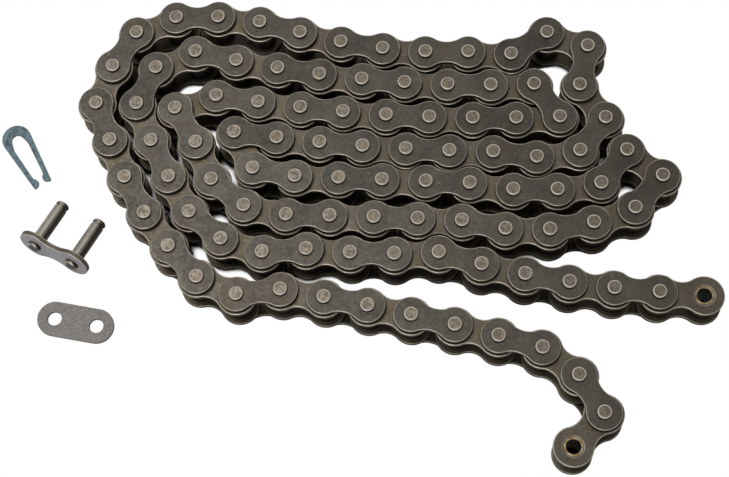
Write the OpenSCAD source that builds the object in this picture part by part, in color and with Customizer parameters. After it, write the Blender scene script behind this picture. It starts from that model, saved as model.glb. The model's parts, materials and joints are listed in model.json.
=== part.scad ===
// Roller drive chain for a motorcycle, 100 pitches long, laid out in a flat coil,
// with the three loose pieces of its spring-clip connecting link beside it.
// Every pin stands upright. The origin is the middle of the open bush at the
// chain's front end, on the chain's mid-plane, and +Z runs along that bush.

/* [Chain] */
// Distance from one pin to the next
pitch = 15.875; // [15.85:0.005:19.05]
// Clear width between the two plates of an inner link
inner_width = 9.53; // [8:0.01:12]
// Thickness of every plate in the chain
plate_t = 2.0; // [1.5:0.1:2.4]
// Running gap between the faces of neighbouring links
side_gap = 0.08; // [0.04:0.01:0.15]

/* [Plates] */
// Diameter of an inner plate's round ends
inner_head_d = 14.4; // [13.5:0.1:14.4]
// Height of an inner plate across its waist
inner_waist = 9.5; // [8.5:0.1:11]
// Diameter of an outer plate's round ends
outer_head_d = 12.8; // [11.5:0.1:13.6]
// Height of an outer plate across its waist
outer_waist = 8.3; // [7:0.1:10]

/* [Pins, bushes and rollers] */
// Diameter of a pin
pin_d = 5.09; // [4.6:0.01:5.2]
// Length of a riveted pin from end to end
pin_length = 20.5; // [20:0.1:22]
// Chamfer round each end of a pin
pin_chamfer = 0.45; // [0.2:0.05:0.7]
// Radial clearance of a pin in its bush
pin_clearance = 0.075; // [0.04:0.005:0.1]
// Outside diameter of a bush
bush_d = 7.0; // [6.6:0.05:7.4]
// Outside diameter of a roller
roller_d = 10.16; // [9.8:0.01:10.3]
// Radial clearance of a roller on its bush
roller_clearance = 0.07; // [0.04:0.01:0.1]
// Gap between a roller's end and the inner plate beside it
roller_end_gap = 0.115; // [0.05:0.005:0.2]

/* [Connecting link] */
// Length of a connecting pin beyond the outer face of its plate
connecting_reach = 20.1; // [19.8:0.1:21]
// Diameter of a connecting pin's end where it is pressed into its plate
pressed_d = 4.7; // [4.2:0.05:4.75]
// Width of the groove that the spring clip snaps into
groove_w = 1.1; // [1.1:0.05:1.5]
// Diameter at the bottom of the clip groove
groove_d = 4.3; // [3.8:0.1:4.3]
// Width of the collar between the clip groove and the pin's tip
groove_collar = 1.15; // [0.9:0.05:1.4]
// Height of the plain oval cover plate
cover_h = 12.9; // [12:0.1:13.4]
// Thickness of the cover plate
cover_t = 1.8; // [1.5:0.1:2.1]
// Thickness of the spring clip
clip_t = 1.0; // [0.8:0.05:1.05]
// Radius of the spring clip's closed end
clip_end_r = 5.55; // [5.3:0.05:5.9]
// Distance from the centre of the spring clip's closed end to the hooks on its legs
clip_leg = 19.65; // [19.3:0.05:20.5]
// Angle by which each leg of the spring clip slopes inwards, in degrees
clip_taper = 5.3; // [5:0.1:5.6]

/* [Lay of the loose pieces] */
// Place of the connecting link's plate along X
connecting_x = -188.8; // [-196.8:0.1:-188.8]
// Place of the connecting link's plate along Y
connecting_y = 72.8; // [71.8:0.1:74.8]
// Heading of the connecting link's plate in degrees
connecting_heading = -26; // [-30:1:-22]
// Place of the cover plate's middle along X
cover_x = -179.9; // [-187.9:0.1:-179.9]
// Place of the cover plate's middle along Y
cover_y = 48.4; // [44.4:0.1:48.4]
// Heading of the cover plate in degrees
cover_heading = -10; // [-14:1:-6]
// Place of the spring clip's closed end along X
clip_x = -207.6; // [-215.6:0.1:-207.6]
// Place of the spring clip's closed end along Y
clip_y = 120.8; // [120.8:0.1:128.8]
// Heading of the spring clip's legs in degrees
clip_heading = -58; // [-62:1:-54]

/* [Hidden] */
$fn = 64;

// The lay of the chain from its front end to its right end, one row for each run of
// links: how many links, the heading of the first one and the heading of the last one.
// Headings are in degrees, counter-clockwise from +X, and change evenly along a run.
lay = [
    [1, 47.5, 47.5], [2, 122.5, 142], [6, 164.5, 170], [2, 186.5, 156],             // front row
    [4, 133, 113.5], [2, 112.5, 70.5], [2, 59, 22.5],                               // left side
    [3, 0.5, -16], [4, -14.5, -0.5], [2, -3.5, 33], [2, -20.5, -101.5],             // back row
    [2, -55, -126.5], [2, -171, -187.5],                                            // right side
    [6, -181.5, -188], [2, -62.5, -11.5], [4, -2.5, -2.5], [3, -9, 9],              // first fold
    [3, 53, -129.5], [4, -159.5, -191.5], [4, -182.5, -181.5],                      // round the first fold
    [3, -193, -246], [2, -238.5, -342],                                             // left turn inside
    [8, -369.5, -358.5], [1, -234.5, -234.5], [8, -179, -193.5],                    // second fold
    [2, -156, -114], [3, -67, -59], [3, -40.5, 4], [3, -5, 2], [6, -16, -2.5],      // row to the right end
];

headings = [for (run = lay) for (k = [0 : run[0] - 1])
    run[1] + (run[2] - run[1]) * k / max(1, run[0] - 1)];
links = len(headings);
// Places of the 100 joint axes, each one pitch from the one before
axes = [for (i = 0, at = [0, 0]; i <= links;
             at = i < links ? at + pitch * [cos(headings[i]), sin(headings[i])] : at, i = i + 1) at];

front_links = 12;                       // links that are free to swing at the front end
right_links = 6;                        // links that are free to swing at the right end
coil_first = front_links;               // first link of the still coil between them
coil_last = links - right_links - 1;

half_pitch = pitch / 2;
inner_face = inner_width / 2;                      // inner plate's face beside the roller
bush_end = inner_face + plate_t + side_gap;        // a bush stands a little proud of its plates
outer_face = bush_end + side_gap;                  // outer plate's face beside the inner link
pin_end = pin_length / 2;
rest_z = -pin_end;                                 // the flat surface that the chain lies on
bush_bore_d = pin_d + 2 * pin_clearance;
roller_bore_d = bush_d + 2 * roller_clearance;
roller_length = inner_width - 2 * roller_end_gap;
rivet_stand = pin_end - outer_face - plate_t;      // how far a riveted pin stands out of its plate
waist_cut = 0.02;                                  // lets the waist arc bite into the round ends
clip_hook_r = 2;                                   // radius of the round hook at a clip leg's end
clip_hook_y = 2.95;                                // distance of its centre from the clip's middle line
// The connecting link leans on its plate's edge and on both pin tips
lean = atan((outer_head_d - pin_d) / 2 / (connecting_reach - pin_chamfer - plate_t));
lean_height = plate_t * sin(lean) + outer_head_d / 2 * cos(lean);

outer_colour = [0.34, 0.335, 0.32];
inner_colour = [0.41, 0.385, 0.35];
pin_colour = [0.62, 0.60, 0.56];
bush_colour = [0.72, 0.64, 0.50];
roller_colour = [0.15, 0.145, 0.14];
rejoined_colour = [0.45, 0.42, 0.37];
connecting_colour = [0.46, 0.45, 0.44];
cover_colour = [0.58, 0.565, 0.54];
clip_colour = [0.40, 0.49, 0.52];

rejoined_link = 9;                      // outer link that was riveted in later, in a lighter steel

function is_inner(i) = i % 2 == 0;
function two_digits(n) = str(n < 10 ? "0" : "", n);
// Name of a piece of a free link, counted from 1 at its end of the chain
function front_name(i, piece) = str("front_", two_digits(i + 1), "_", piece);
function right_name(i, piece) = str("right_", two_digits(links - i), "_", piece);
function pieces_of(i) = is_inner(i) ? ["inner_plates", "bushes", "rollers"] : ["outer_plates", "pins"];
end_pieces = ["inner_plates", "bushes", "end_roller", "second_roller"];

// ---- shapes ----

// Figure-eight plate, flat in XY and centred: two round ends with concave waists between
module plate_outline(head_d, waist, hole_d) {
    head_r = head_d / 2;
    waist_h = waist / 2;
    waist_r = (half_pitch ^ 2 + waist_h ^ 2 - head_r ^ 2) / (2 * (head_r - waist_h));
    reach = head_r + waist_r;
    difference() {
        union() {
            for (x = [-half_pitch, half_pitch]) translate([x, 0]) circle(head_r);
            square([pitch * waist_r / reach, 2 * head_r * (waist_h + waist_r) / reach], center = true);
        }
        for (y = [-1, 1]) translate([0, y * (waist_h + waist_r)]) circle(waist_r + waist_cut);
        for (x = [-half_pitch, half_pitch]) translate([x, 0]) circle(d = hole_d);
    }
}

// Places its children at the middle of link i, turned along it
module on_link(i) {
    middle = (axes[i] + axes[i + 1]) / 2;
    translate([middle.x, middle.y, 0]) rotate(headings[i]) children();
}

// One plate of link i, on side 1 (upper) or -1 (lower)
module inner_plate(i, side) {
    on_link(i) translate([0, 0, side * (inner_face + plate_t / 2)])
        linear_extrude(plate_t, center = true) plate_outline(inner_head_d, inner_waist, bush_d);
}

module outer_plate(i, side) {
    on_link(i) translate([0, 0, side * (outer_face + plate_t / 2)])
        linear_extrude(plate_t, center = true) plate_outline(outer_head_d, outer_waist, pin_d);
}

// Tube centred on joint axis k
module tube_at(k, outside_d, bore_d, length) {
    translate([axes[k].x, axes[k].y, 0]) difference() {
        cylinder(d = outside_d, h = length, center = true);
        cylinder(d = bore_d, h = length + 1, center = true);
    }
}

module bush_at(k) {
    tube_at(k, bush_d, bush_bore_d, 2 * bush_end);
}

module roller_at(k) {
    tube_at(k, roller_d, roller_bore_d, roller_length);
}

// Round bar along Z with both ends chamfered
module chamfered_bar(bar_d, low, high) {
    r = bar_d / 2;
    rotate_extrude() polygon([
        [0, low], [r - pin_chamfer, low], [r, low + pin_chamfer],
        [r, high - pin_chamfer], [r - pin_chamfer, high], [0, high]]);
}

module pin_at(k) {
    translate([axes[k].x, axes[k].y, 0]) chamfered_bar(pin_d, -pin_end, pin_end);
}

// ---- pieces of one link ----

module inner_plates(i) {
    color(inner_colour) for (side = [-1, 1]) inner_plate(i, side);
}

module outer_plates(i) {
    color(i == rejoined_link ? rejoined_colour : outer_colour) for (side = [-1, 1]) outer_plate(i, side);
}

module bushes(i) {
    color(bush_colour) for (k = [i, i + 1]) bush_at(k);
}

module rollers(i) {
    color(roller_colour) for (k = [i, i + 1]) roller_at(k);
}

module one_roller(k) {
    color(roller_colour) roller_at(k);
}

module pins(i) {
    color(pin_colour) for (k = [i, i + 1]) pin_at(k);
}

// Draws one piece of link i by its name
module piece_of(i, piece) {
    if (piece == "inner_plates") inner_plates(i);
    if (piece == "outer_plates") outer_plates(i);
    if (piece == "bushes") bushes(i);
    if (piece == "rollers") rollers(i);
    if (piece == "pins") pins(i);
}

// ---- the still coil ----

module coil_outer_plates(side) {
    color(outer_colour) for (i = [coil_first : coil_last]) if (!is_inner(i)) outer_plate(i, side);
}

module coil_inner_plates(side) {
    color(inner_colour) for (i = [coil_first : coil_last]) if (is_inner(i)) inner_plate(i, side);
}

module coil_bushes() {
    for (i = [coil_first : coil_last]) if (is_inner(i)) bushes(i);
}

module coil_rollers() {
    for (i = [coil_first : coil_last]) if (is_inner(i)) rollers(i);
}

module coil_pins() {
    for (i = [coil_first : coil_last]) if (!is_inner(i)) pins(i);
}

// ---- the loose connecting link ----

// Own frame: plate flat in XY with its outer face at Z = 0, pins along +Z
module leaning() {
    translate([connecting_x, connecting_y, rest_z + lean_height])
        rotate([-90 - lean, 0, connecting_heading]) children();
}

module connecting_plate() {
    color(connecting_colour) leaning()
        linear_extrude(plate_t) plate_outline(outer_head_d, outer_waist, pressed_d);
}

// Pressed end through the plate, shank from its shoulder to the clip groove, then the tip
module connecting_pin(side) {
    shank_r = pin_d / 2;
    pressed_r = pressed_d / 2;
    groove_r = groove_d / 2;
    groove_top = connecting_reach - groove_collar;
    groove_low = groove_top - groove_w;
    color(pin_colour) leaning() translate([side * half_pitch, 0, 0]) rotate_extrude() polygon([
        [0, -rivet_stand], [pressed_r - pin_chamfer, -rivet_stand], [pressed_r, pin_chamfer - rivet_stand],
        [pressed_r, plate_t], [shank_r, plate_t], [shank_r, groove_low], [groove_r, groove_low],
        [groove_r, groove_top], [shank_r, groove_top], [shank_r, connecting_reach - pin_chamfer],
        [shank_r - pin_chamfer, connecting_reach], [0, connecting_reach]]);
}

module cover_plate() {
    hole_d = pin_d + 2 * pin_clearance;
    color(cover_colour) translate([cover_x, cover_y, rest_z]) rotate(cover_heading)
        linear_extrude(cover_t) difference() {
            union() {
                for (x = [-half_pitch, half_pitch]) translate([x, 0]) circle(d = cover_h);
                square([pitch, cover_h], center = true);
            }
            for (x = [-half_pitch, half_pitch]) translate([x, 0]) circle(d = hole_d);
        }
}

// Flat spring clip: closed round end at the origin, and two legs along +X that slope inwards
module clip_blank() {
    r = clip_end_r - 0.01;              // just inside the round end, so that the legs join it
    start = r * [sin(clip_taper), cos(clip_taper)];
    tip_x = clip_leg + clip_hook_r;
    tip_y = (r - tip_x * sin(clip_taper)) / cos(clip_taper);
    cylinder(r = clip_end_r, h = clip_t);
    linear_extrude(clip_t)
        polygon([start, [tip_x, tip_y], [tip_x, -tip_y], [start.x, -start.y]]);
}

// One side of the slot between the legs: an arc round its closed end, a curve out to where it
// is widest, and a taper down to the mouth
function slot_side() = let(
        eye_x = 0.75, eye_r = 2.2, arc_end = 107, arc_steps = 10,
        bend = [3, 3.05], widest = [4.6, 2.94], bend_steps = 8, mouth = [clip_leg + 1, 1.85],
        start = [eye_x + eye_r * cos(arc_end), eye_r * sin(arc_end)])
    concat(
        [for (k = [0 : arc_steps - 1]) let(a = 180 - (180 - arc_end) * k / arc_steps)
            [eye_x + eye_r * cos(a), eye_r * sin(a)]],
        [for (k = [0 : bend_steps]) let(t = k / bend_steps)
            (1 - t) ^ 2 * start + 2 * t * (1 - t) * bend + t ^ 2 * widest],
        [mouth]);

// What is cut from the blank: the slot, and all beyond the round hooks at the ends of the legs
module clip_slot() {
    side = slot_side();
    other_side = [for (k = [len(side) - 1 : -1 : 1]) [side[k].x, -side[k].y]];
    beyond = clip_end_r * 2;
    difference() {
        translate([0, 0, -1]) union() {
            linear_extrude(clip_t + 2) polygon(concat(side, other_side));
            translate([clip_leg, -beyond / 2, 0]) cube([beyond, beyond, clip_t + 2]);
        }
        for (y = [-clip_hook_y, clip_hook_y]) translate([clip_leg, y, -2])
            cylinder(r = clip_hook_r, h = clip_t + 4);
    }
}

module spring_clip() {
    color(clip_colour) translate([clip_x, clip_y, rest_z]) rotate(clip_heading) difference() {
        clip_blank();
        clip_slot();
    }
}

// ---- nodes ----

coil_outer_plates(1);  // coil_outer_plates_upper
coil_outer_plates(-1);  // coil_outer_plates_lower
coil_inner_plates(1);  // coil_inner_plates_upper
coil_inner_plates(-1);  // coil_inner_plates_lower
coil_bushes();
coil_rollers();
coil_pins();

// The two end links, whose rollers are free to turn by themselves
inner_plates(0);
bushes(0);
one_roller(0);
one_roller(1);
inner_plates(links - 1);
bushes(links - 1);
one_roller(links);
one_roller(links - 1);

// The other free links
for (i = [1 : front_links - 1]) for (piece = pieces_of(i))
    piece_of(i, piece);
for (i = [coil_last + 1 : links - 2]) for (piece = pieces_of(i))
    piece_of(i, piece);

connecting_plate();
connecting_pin(-1);  // connecting_pin_a
connecting_pin(1);  // connecting_pin_b
cover_plate();
spring_clip();
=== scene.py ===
import json
import math

import bpy
from mathutils import Matrix, Vector


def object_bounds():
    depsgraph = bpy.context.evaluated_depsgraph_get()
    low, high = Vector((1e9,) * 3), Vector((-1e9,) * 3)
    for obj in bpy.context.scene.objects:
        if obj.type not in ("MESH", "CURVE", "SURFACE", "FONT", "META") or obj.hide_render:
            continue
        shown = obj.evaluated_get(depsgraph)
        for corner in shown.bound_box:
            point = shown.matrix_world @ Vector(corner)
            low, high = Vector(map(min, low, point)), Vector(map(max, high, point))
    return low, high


# One millimetre, in the metres that Blender works in
MM = 0.001
UP = (0.0, 0.0, 1.0)
# A bore that is longer than this goes through a bush, and a shorter one through a plate
LONGEST_PLATE_BORE_MM = 5.0
# Below this share of full brightness an sRGB channel is straight, above it a curve
SRGB_KNEE = 0.04045
# Corners closer than this are one corner, and faces within this angle are one flat face
WELD_MM = 0.002
FLAT_DEGREES = 0.5
# Edges sharper than this angle are rounded, each with this many steps
SHARP_DEGREES = 35
BEVEL_SEGMENTS = 3
# The floor's half width, and how far it lies below the chain
FLOOR_HALF = 3.0
FLOOR_GAP = 0.01 * MM

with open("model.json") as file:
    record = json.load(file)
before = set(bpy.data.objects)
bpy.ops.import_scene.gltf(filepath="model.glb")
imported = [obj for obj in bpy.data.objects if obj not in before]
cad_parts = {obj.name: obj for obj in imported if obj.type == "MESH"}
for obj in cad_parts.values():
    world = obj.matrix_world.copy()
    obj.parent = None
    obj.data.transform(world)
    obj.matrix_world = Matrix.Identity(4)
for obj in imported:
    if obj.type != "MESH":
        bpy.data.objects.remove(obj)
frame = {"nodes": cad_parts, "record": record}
cad_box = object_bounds()
record = frame["record"]
nodes = frame["nodes"]


# ---- small helpers ----


def linear(red, green, blue):
    """An sRGB colour given in 0 to 255, as the linear values that shaders use."""

    def channel(value):
        share = value / 255
        if share <= SRGB_KNEE:
            return share / 12.92
        return ((share + 0.055) / 1.055) ** 2.4

    return (channel(red), channel(green), channel(blue), 1.0)


class Shader:
    """Builds one node-based material, with short names for the nodes that it needs."""

    def __init__(self, name):
        self.material = bpy.data.materials.new(name)
        self.material.use_nodes = True
        self.tree = self.material.node_tree
        self.tree.nodes.clear()
        self.surface = self.add("ShaderNodeBsdfPrincipled")
        self.output = self.add("ShaderNodeOutputMaterial")
        self.join(self.surface.outputs["BSDF"], self.output.inputs["Surface"])
        self.place = self.add("ShaderNodeTexCoord").outputs["Object"]
        self.geometry = self.add("ShaderNodeNewGeometry")

    def add(self, kind):
        return self.tree.nodes.new(kind)

    def join(self, source, socket):
        self.tree.links.new(source, socket)

    def put(self, value, socket):
        """Links an output to a socket, or sets the socket to a plain value."""
        if isinstance(value, bpy.types.NodeSocket):
            self.join(value, socket)
        else:
            socket.default_value = value

    def math(self, operation, first, second=0.0):
        step = self.add("ShaderNodeMath")
        step.operation = operation
        self.put(first, step.inputs[0])
        self.put(second, step.inputs[1])
        return step.outputs["Value"]

    def times(self, first, second):
        return self.math("MULTIPLY", first, second)

    def plus(self, first, second):
        return self.math("ADD", first, second)

    def larger(self, first, second):
        return self.math("MAXIMUM", first, second)

    def spread(self, value, low, high, to_low=0.0, to_high=1.0):
        """Maps low..high smoothly to to_low..to_high."""
        step = self.add("ShaderNodeMapRange")
        step.interpolation_type = "SMOOTHSTEP"
        self.put(value, step.inputs["Value"])
        step.inputs["From Min"].default_value = low
        step.inputs["From Max"].default_value = high
        step.inputs["To Min"].default_value = to_low
        step.inputs["To Max"].default_value = to_high
        return step.outputs["Result"]

    def mix(self, share, first, second):
        """A colour between first and second."""
        step = self.add("ShaderNodeMix")
        step.data_type = "RGBA"
        self.put(share, step.inputs["Factor"])
        self.put(first, step.inputs["A"])
        self.put(second, step.inputs["B"])
        return step.outputs["Result"]

    def noise(self, size_mm, detail=3.0, offset=0.0, stretch=(1.0, 1.0, 1.0)):
        """Cloudy values about 0.5, with features of the given size."""
        mapping = self.add("ShaderNodeMapping")
        mapping.inputs["Location"].default_value = (offset, offset * 0.7, offset * 0.3)
        mapping.inputs["Scale"].default_value = stretch
        self.join(self.place, mapping.inputs["Vector"])
        step = self.add("ShaderNodeTexNoise")
        step.inputs["Scale"].default_value = 1 / (size_mm * MM)
        step.inputs["Detail"].default_value = detail
        self.join(mapping.outputs["Vector"], step.inputs["Vector"])
        return step.outputs["Fac"]

    def island(self):
        """A different value from 0 to 1 for each separate solid."""
        return self.geometry.outputs["Random Per Island"]

    def against(self, vector, operation, constant):
        """The value of a vector operation, such as a distance, between vector and a constant."""
        step = self.add("ShaderNodeVectorMath")
        step.operation = operation
        self.join(vector, step.inputs[0])
        step.inputs[1].default_value = constant
        return step.outputs["Value"]

    def facing(self, axis):
        """How squarely the true surface faces along axis or against it, 0 to 1."""
        turned = self.against(self.geometry.outputs["True Normal"], "DOT_PRODUCT", axis)
        return self.math("ABSOLUTE", turned)

    def toward(self, axis):
        """How far the smooth surface faces along axis, from -1 to 1."""
        return self.against(self.geometry.outputs["Normal"], "DOT_PRODUCT", axis)

    def wall(self, axis):
        """1 on faces that run along axis, such as a plate's edge or a bore, 0 elsewhere."""
        return self.spread(self.facing(axis), 0.04, 0.3, 1.0, 0.0)

    def rounded_edge(self, axis):
        """1 on the rounded edges between faces along axis and faces across it."""
        facing = self.facing(axis)
        above = self.spread(facing, 0.12, 0.4)
        below = self.spread(facing, 0.93, 0.995, 1.0, 0.0)
        return self.times(above, below)

    def openness(self, reach_mm, samples):
        """1 in the open, down to 0 where other surfaces within reach shut the place in."""
        step = self.add("ShaderNodeAmbientOcclusion")
        step.samples = samples
        step.inputs["Distance"].default_value = reach_mm * MM
        return step.outputs["AO"]

    def crevice(self, reach_mm, low=0.35, high=0.95):
        """1 deep in corners and gaps, 0 in the open."""
        return self.spread(self.openness(reach_mm, 8), low, high, 1.0, 0.0)

    def below(self, height_mm, depth_mm):
        """0 above a height of the chain at rest, rising to 1 over the given depth below it."""
        split = self.add("ShaderNodeSeparateXYZ")
        self.join(self.place, split.inputs["Vector"])
        return self.spread(split.outputs["Z"], (height_mm - depth_mm) * MM, height_mm * MM, 1.0, 0.0)

    def hairlines(self, size_mm, width, offset):
        """Thin curved scratches, 1 on a scratch and 0 beside it, broken up along their length."""
        away = self.math("ABSOLUTE", self.math("SUBTRACT", self.noise(size_mm, 2.0, offset), 0.5))
        line = self.spread(away, 0.0, width, 1.0, 0.0)
        broken = self.spread(self.noise(size_mm * 0.6, 3.0, offset + 0.3), 0.5, 0.62)
        return self.times(line, broken)

    def finish(self, colour, roughness, metallic, height=None, depth_mm=0.02):
        """Sets the surface, with a relief of the given depth if a height is given."""
        self.put(colour, self.surface.inputs["Base Color"])
        self.put(roughness, self.surface.inputs["Roughness"])
        self.put(metallic, self.surface.inputs["Metallic"])
        if height is not None:
            bump = self.add("ShaderNodeBump")
            bump.inputs["Strength"].default_value = 1.0
            bump.inputs["Distance"].default_value = depth_mm * MM
            self.join(height, bump.inputs["Height"])
            self.join(bump.outputs["Normal"], self.surface.inputs["Normal"])
        return self.material


# Painted shade: the near-black that corners, gaps and shut-in walls are darkened towards, in place of
# real shadow
PAINTED_SHADE = linear(20, 17, 14)


def plate_steel(name, dark, light, stain, edge, wall, axis=UP, rust=None, shine=0.4):
    """Plate steel: faint clouds, brown smudges, hairline scratches and fine grain, with painted shade
    on shut-in and low walls and in gaps, and painted highlights on the rounded edges.
    """
    s = Shader(name)
    clouds = s.spread(s.noise(9.0, 3.0), 0.3, 0.7)
    mottle = s.spread(s.noise(1.1, 5.0, offset=0.13), 0.3, 0.7)
    blend = s.plus(s.times(clouds, 0.35), s.times(mottle, 0.3))
    blend = s.plus(blend, s.times(s.island(), 0.35))
    colour = s.mix(blend, dark, light)
    smudge = s.spread(s.noise(4.2, 4.0, offset=0.37), 0.54, 0.68, 0.0, 0.45)
    patchy = s.spread(s.noise(2.6, 4.0, offset=0.71), 0.42, 0.6)
    by_pins = s.times(s.crevice(4.5, 0.72, 1.0), patchy)
    colour = s.mix(s.larger(smudge, s.times(by_pins, 0.9)), colour, stain)
    grain = s.noise(0.16, 3.0, offset=0.11)
    colour = s.mix(s.spread(grain, 0.4, 0.64, 0.0, 0.3), colour, dark)
    colour = s.mix(s.times(s.hairlines(2.6, 0.006, 0.7), 0.35), colour, edge)
    if rust is not None:
        specks = s.spread(s.noise(0.7, 5.0, offset=0.83), 0.6, 0.67)
        patch = s.spread(s.noise(5.0, 3.0, offset=0.29), 0.45, 0.6, 0.1, 0.6)
        colour = s.mix(s.times(specks, patch), colour, rust)
    # Painted shade: plate walls darken where other parts shut them in, and lower down on the chain at
    # rest
    low_down = s.below(0.0, 5.0)
    shut_in = s.larger(s.crevice(9.0, 0.15, 0.5), s.times(low_down, 0.4))
    wall_colour = s.mix(shut_in, wall, PAINTED_SHADE)
    colour = s.mix(s.times(s.wall(axis), 0.95), colour, wall_colour)
    # Painted highlight: rounded edges lightened to the edge colour, broken up by noise and weaker
    # lower down
    edge_highlight = s.spread(s.noise(1.1, 4.0, offset=0.59), 0.3, 0.6, 0.65, 1.0)
    edge_highlight = s.times(edge_highlight, s.spread(low_down, 0.0, 1.0, 1.0, 0.25))
    colour = s.mix(s.times(s.rounded_edge(axis), edge_highlight), colour, edge)
    # Painted shade in narrow gaps and corners
    colour = s.mix(s.times(s.crevice(0.9), 0.9), colour, PAINTED_SHADE)
    roughness = s.spread(mottle, 0.0, 1.0, shine + 0.06, shine - 0.04)
    height = s.plus(grain, s.times(s.noise(1.6, 4.0, offset=0.21), 1.2))
    return s.finish(colour, roughness, 0.75, height, 0.022)


# ---- materials, one function each ----


def outer_plate_steel():
    """Blue-black, for the plates on the outside of the chain."""
    return plate_steel(
        "blued_plate", dark=linear(65, 61, 56), light=linear(108, 103, 94),
        stain=linear(94, 82, 60), edge=linear(226, 218, 200), wall=linear(66, 58, 49))


def inner_plate_steel():
    """Browner and lighter, with small rust specks."""
    return plate_steel(
        "browned_plate", dark=linear(79, 73, 63), light=linear(124, 116, 103),
        stain=linear(106, 94, 74), edge=linear(236, 225, 206), wall=linear(72, 62, 51),
        rust=linear(118, 88, 56))


def rejoined_plate_steel():
    """Lighter and more even, for the one link that was riveted in later."""
    return plate_steel(
        "newer_plate", dark=linear(72, 66, 58), light=linear(104, 97, 87),
        stain=linear(104, 90, 68), edge=linear(222, 210, 190), wall=linear(48, 41, 33))


def pin_steel():
    """Riveted pin ends: hammered, mottled discs, with a painted highlight on the chamfer and painted
    shade on the sides and in crevices.
    """
    s = Shader("pin_ends")
    mottle = s.spread(s.noise(0.9, 4.0), 0.34, 0.66)
    colour = s.mix(mottle, linear(106, 96, 84), linear(148, 138, 124))
    spots = s.spread(s.noise(0.5, 3.0, offset=0.4), 0.57, 0.68, 0.0, 0.5)
    colour = s.mix(spots, colour, linear(84, 72, 56))
    colour = s.mix(s.times(s.island(), 0.35), colour, linear(130, 120, 104))
    # Painted shade: a darker ring where the pin meets other surfaces
    inner_ring = s.times(s.crevice(0.5, 0.9, 1.0), 0.4)
    colour = s.mix(inner_ring, colour, linear(84, 74, 62))
    # Painted highlight on the chamfer's rounded rim
    rim = s.rounded_edge(UP)
    colour = s.mix(rim, colour, linear(222, 213, 198))
    # Painted shade on the pin's sides and, deeper, in the crevice round it
    colour = s.mix(s.wall(UP), colour, linear(26, 22, 18))
    colour = s.mix(s.times(s.crevice(0.7), 0.9), colour, PAINTED_SHADE)
    dents = s.plus(s.noise(0.8, 3.0, offset=0.9), s.times(s.noise(0.2, 3.0), 0.3))
    shine = s.spread(mottle, 0.0, 1.0, 0.46, 0.36)
    return s.finish(colour, shine, s.spread(rim, 0.0, 1.0, 0.8, 0.1), dents, 0.035)


def bush_steel():
    """Straw-tinted rings, with painted shade darkening the bore to near black."""
    s = Shader("straw_bush")
    tint = s.spread(s.noise(2.2, 3.0), 0.4, 0.62)
    colour = s.mix(tint, linear(198, 182, 150), linear(156, 124, 82))
    grain = s.noise(0.3, 3.0)
    colour = s.mix(s.spread(grain, 0.45, 0.65, 0.0, 0.35), colour, linear(110, 88, 58))
    # Painted shade: the bore walls near black
    colour = s.mix(s.wall(UP), colour, linear(12, 10, 9))
    return s.finish(colour, 0.36, 0.85, grain, 0.02)


def roller_steel():
    """Near black under a film of grease, with a few smears and painted shade where other parts shut it
    in.
    """
    s = Shader("greased_roller")
    film = s.spread(s.noise(2.0, 4.0), 0.35, 0.7)
    colour = s.mix(film, linear(28, 25, 22), linear(60, 53, 45))
    smears = s.spread(s.noise(0.9, 4.0, offset=0.4, stretch=(1.0, 1.0, 0.2)), 0.55, 0.7, 0.0, 0.6)
    colour = s.mix(smears, colour, linear(88, 76, 60))
    # Painted shade where other parts shut the roller in
    colour = s.mix(s.crevice(9.0, 0.15, 0.45), colour, PAINTED_SHADE)
    return s.finish(colour, s.spread(film, 0.0, 1.0, 0.3, 0.5), 0.6, s.noise(0.5, 3.0), 0.02)


def connecting_plate_steel(axis):
    """Light grey and matt, for a plate that faces along axis."""
    return plate_steel(
        "connecting_plate", dark=linear(176, 173, 176), light=linear(214, 212, 216),
        stain=linear(182, 174, 166), edge=linear(226, 220, 206), wall=linear(122, 111, 93),
        axis=axis, shine=0.55)


def connecting_pin_steel(axis, side):
    """Ground and lightly tarnished, with painted shade on one side and in the clip groove and other
    crevices, and grey ends.
    """
    s = Shader("ground_pin")
    streak = s.spread(s.noise(3.0, 3.0), 0.3, 0.7)
    colour = s.mix(streak, linear(204, 194, 178), linear(228, 220, 206))
    spots = s.spread(s.noise(0.8, 4.0, offset=0.6), 0.6, 0.7, 0.0, 0.45)
    colour = s.mix(spots, colour, linear(146, 130, 108))
    colour = s.mix(s.times(s.hairlines(1.8, 0.01, 0.2), 0.3), colour, linear(214, 208, 196))
    # Painted shade down one side of the pin, the side that faces along side
    colour = s.mix(s.spread(s.toward(side), 0.0, 0.8, 0.0, 0.85), colour, linear(52, 46, 38))
    colour = s.mix(s.spread(s.facing(axis), 0.9, 0.99), colour, linear(100, 95, 89))
    # Painted shade in the clip groove and other crevices
    colour = s.mix(s.times(s.crevice(1.6, 0.5, 0.95), 0.95), colour, PAINTED_SHADE)
    return s.finish(colour, s.spread(streak, 0.0, 1.0, 0.42, 0.34), 0.8, s.noise(0.2, 3.0), 0.004)


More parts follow.
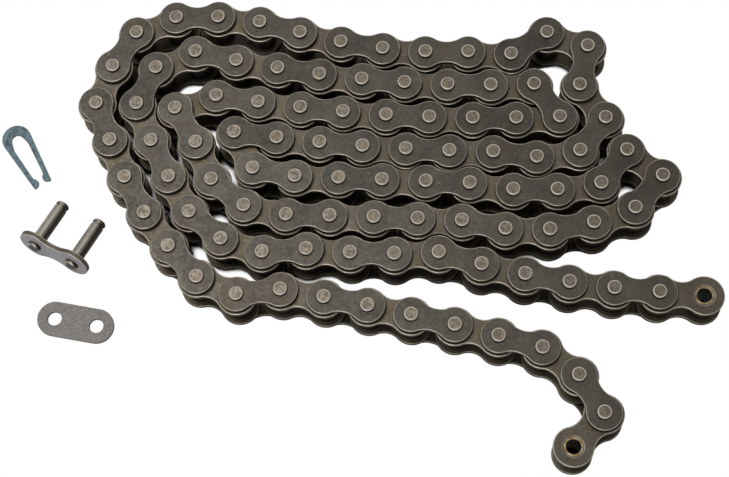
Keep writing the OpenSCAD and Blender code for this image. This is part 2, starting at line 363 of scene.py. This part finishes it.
def cover_plate_steel():
    """Matt grey with a fine speckle and a few small brown spots, and a painted highlight on its
    rounded edges.
    """
    s = Shader("matt_cover")
    grain = s.noise(0.3, 5.0)
    colour = s.mix(s.spread(grain, 0.34, 0.66), linear(108, 103, 99), linear(170, 165, 160))
    mottle = s.spread(s.noise(5.0, 3.0, offset=0.3), 0.35, 0.65, 0.0, 0.5)
    colour = s.mix(mottle, colour, linear(132, 127, 119))
    pits = s.spread(s.noise(0.5, 4.0, offset=0.9), 0.56, 0.66, 0.0, 0.7)
    colour = s.mix(pits, colour, linear(82, 74, 66))
    brown = s.spread(s.noise(0.9, 4.0, offset=0.7), 0.63, 0.7, 0.0, 0.9)
    colour = s.mix(brown, colour, linear(86, 62, 44))
    colour = s.mix(s.times(s.wall(UP), 0.6), colour, linear(146, 137, 125))
    # Painted highlight on the rounded edges
    colour = s.mix(s.times(s.rounded_edge(UP), 0.8), colour, linear(172, 168, 160))
    return s.finish(colour, 0.55, 0.5, grain, 0.03)


def spring_clip_steel():
    """Blue-grey zinc with dark scratches and brown showing at its edges."""
    s = Shader("blue_zinc_clip")
    clouds = s.spread(s.noise(3.0, 4.0), 0.35, 0.65)
    colour = s.mix(clouds, linear(84, 104, 112), linear(112, 132, 140))
    grain = s.noise(0.25, 4.0, offset=0.5)
    colour = s.mix(s.spread(grain, 0.4, 0.7, 0.0, 0.4), colour, linear(92, 112, 120))
    scratches = s.spread(s.noise(1.9, 6.0, offset=0.2, stretch=(2.6, 0.8, 1.0)), 0.56, 0.63, 0.0, 0.75)
    colour = s.mix(scratches, colour, linear(50, 58, 60))
    colour = s.mix(s.times(s.hairlines(3.4, 0.02, 0.9), 0.7), colour, linear(56, 58, 54))
    colour = s.mix(s.wall(UP), colour, linear(110, 112, 104))
    rim = s.spread(s.noise(1.2, 3.0, offset=0.8), 0.4, 0.6)
    colour = s.mix(s.rounded_edge(UP), colour, s.mix(rim, linear(88, 84, 72), linear(140, 152, 154)))
    return s.finish(colour, 0.46, 0.6, s.plus(grain, scratches), 0.015)


# ---- the chain ----


def round_the_edges(node, width_mm):
    """Joins the split faces of a CAD solid, merges its flat ones and rounds its sharp edges."""
    weld = node.modifiers.new("weld", "WELD")
    weld.merge_threshold = WELD_MM * MM
    merge = node.modifiers.new("merge_flat_faces", "DECIMATE")
    merge.decimate_type = "DISSOLVE"
    merge.angle_limit = math.radians(FLAT_DEGREES)
    bevel = node.modifiers.new("round_edges", "BEVEL")
    bevel.width = width_mm * MM
    bevel.segments = BEVEL_SEGMENTS
    bevel.limit_method = "ANGLE"
    bevel.angle_limit = math.radians(SHARP_DEGREES)
    bevel.use_clamp_overlap = True
    smooth = node.modifiers.new("flat_faces_flat", "WEIGHTED_NORMAL")
    smooth.weight = 100
    smooth.keep_sharp = False


def dress(node, material, width_mm):
    """Gives a CAD node its material and edges rounded to width_mm."""
    node.data.materials.clear()
    node.data.materials.append(material)
    for face in node.data.polygons:
        face.use_smooth = True
    round_the_edges(node, width_mm)


def connecting_link_axes():
    """Direction of the loose link's two pins, and the direction from one pin to the other."""
    mounts = {m["name"]: m for m in record["mounts"]}
    first, second = mounts["connecting_pin_a_free_end"], mounts["connecting_pin_b_free_end"]
    apart = Vector(second["pos_m"]) - Vector(first["pos_m"])
    return tuple(first["axis"]), tuple(apart.normalized())


def dress_the_chain():
    """Each of the record's material slots has a material and the width of its rounded edges in mm."""
    slots = {entry["node"]: entry["material_slot"] for entry in record["subparts"]}
    along_pins, across_pins = connecting_link_axes()
    finishes = {
        "outer_plate": (outer_plate_steel(), 0.34),
        "inner_plate": (inner_plate_steel(), 0.42),
        "rejoined_plate": (rejoined_plate_steel(), 0.34),
        "pin": (pin_steel(), 0.09),
        "bush": (bush_steel(), 0.16),
        "roller": (roller_steel(), 0.3),
        "connecting_plate": (connecting_plate_steel(along_pins), 0.3),
        "connecting_pin": (connecting_pin_steel(along_pins, across_pins), 0.12),
        "cover_plate": (cover_plate_steel(), 0.2),
        "spring_clip": (spring_clip_steel(), 0.18),
    }
    for name, node in nodes.items():
        material, width_mm = finishes[slots[name]]
        dress(node, material, width_mm)


# ---- floor, light and camera ----


def open_bores():
    """Middles of the chain's open bushes, which are the long bores among the record's mounts."""
    bores = [m for m in record["mounts"] if m["kind"] == "bore"]
    return [tuple(m["pos_m"]) for m in bores if m["dims"]["length_mm"] > LONGEST_PLATE_BORE_MM]


def pale_floor(height):
    """White to the camera, with painted shade where the chain shuts it in and a painted shadow under
    each open bore; plain grey to every other ray.
    """
    s = Shader("pale_floor")
    s.finish(linear(205, 205, 205), 0.9, 0.0)
    s.surface.inputs["Specular IOR Level"].default_value = 0.0
    # Openness below which the floor gets painted shade, raised under each open bore to paint a shadow
    # there
    limit = 0.27
    under_bush, beside_bush = 3.5 * MM, 4.5 * MM
    for place in open_bores():
        away = s.against(s.place, "DISTANCE", (place[0], place[1], height))
        limit = s.plus(limit, s.spread(away, under_bush, beside_bush, 0.4, 0.0))
    open_share = s.math("DIVIDE", s.openness(14.0, 64), limit)
    glow = s.add("ShaderNodeEmission")
    s.put(s.spread(open_share, 0.8, 1.1), glow.inputs["Strength"])
    blend = s.add("ShaderNodeMixShader")
    s.join(s.add("ShaderNodeLightPath").outputs["Is Camera Ray"], blend.inputs["Fac"])
    s.join(s.surface.outputs["BSDF"], blend.inputs[1])
    s.join(glow.outputs["Emission"], blend.inputs[2])
    s.join(blend.outputs["Shader"], s.output.inputs["Surface"])
    turns = [(-1, -1), (1, -1), (1, 1), (-1, 1)]
    corners = [(x * FLOOR_HALF, y * FLOOR_HALF, height) for x, y in turns]
    mesh = bpy.data.meshes.new("floor")
    mesh.from_pydata(corners, [], [(0, 1, 2, 3)])
    floor = bpy.data.objects.new("floor", mesh)
    floor.data.materials.append(s.material)
    bpy.context.scene.collection.objects.link(floor)


def soft_light(name, place, target, size, power):
    """A round lamp at place, turned to target."""
    data = bpy.data.lights.new(name, "AREA")
    data.shape = "DISK"
    data.size = size
    data.energy = power
    light = bpy.data.objects.new(name, data)
    light.location = place
    light.rotation_euler = (Vector(target) - Vector(place)).to_track_quat("-Z", "Y").to_euler()
    bpy.context.scene.collection.objects.link(light)


def studio_light(centre):
    """Soft light from above and from the camera's side, with weaker light behind."""
    world = bpy.data.worlds.new("studio")
    world.use_nodes = True
    background = world.node_tree.nodes["Background"]
    background.inputs["Color"].default_value = (1.0, 1.0, 1.0, 1.0)
    background.inputs["Strength"].default_value = 0.2
    bpy.context.scene.world = world
    soft_light("overhead", centre + Vector((-0.35, 0.15, 1.05)), centre, 0.8, 4.2)
    soft_light("front", centre + Vector((-0.25, -1.0, 0.75)), centre, 0.7, 3.8)
    soft_light("back", centre + Vector((0.35, 1.0, 0.45)), centre, 0.8, 3.4)


def camera_view():
    """The camera of the reference view, turned and rolled about a point of the mid-plane."""
    azimuth, elevation, roll = math.radians(-9.91), math.radians(71.13), math.radians(-9.35)
    target = Vector((-73.95, 77.92, 0.0)) * MM
    distance = 667.99 * MM
    ahead = Vector((math.sin(azimuth), math.cos(azimuth), 0.0))
    forward = math.cos(elevation) * ahead - math.sin(elevation) * Vector(UP)
    level = Vector((math.cos(azimuth), -math.sin(azimuth), 0.0))
    over = level.cross(forward)
    right = math.cos(roll) * level + math.sin(roll) * over
    top = math.cos(roll) * over - math.sin(roll) * level
    data = bpy.data.cameras.new("camera")
    data.sensor_width = 36
    data.lens = 90.70
    data.clip_start = 0.01
    camera = bpy.data.objects.new("camera", data)
    turn = Matrix((right, top, -forward)).transposed()
    camera.matrix_world = Matrix.Translation(target - forward * distance) @ turn.to_4x4()
    bpy.context.scene.collection.objects.link(camera)
    bpy.context.scene.camera = camera


dress_the_chain()
low, high = Vector(cad_box[0]), Vector(cad_box[1])
pale_floor(low.z - FLOOR_GAP)
studio_light((low + high) / 2)
camera_view()
bpy.context.scene.view_settings.view_transform = "Standard"
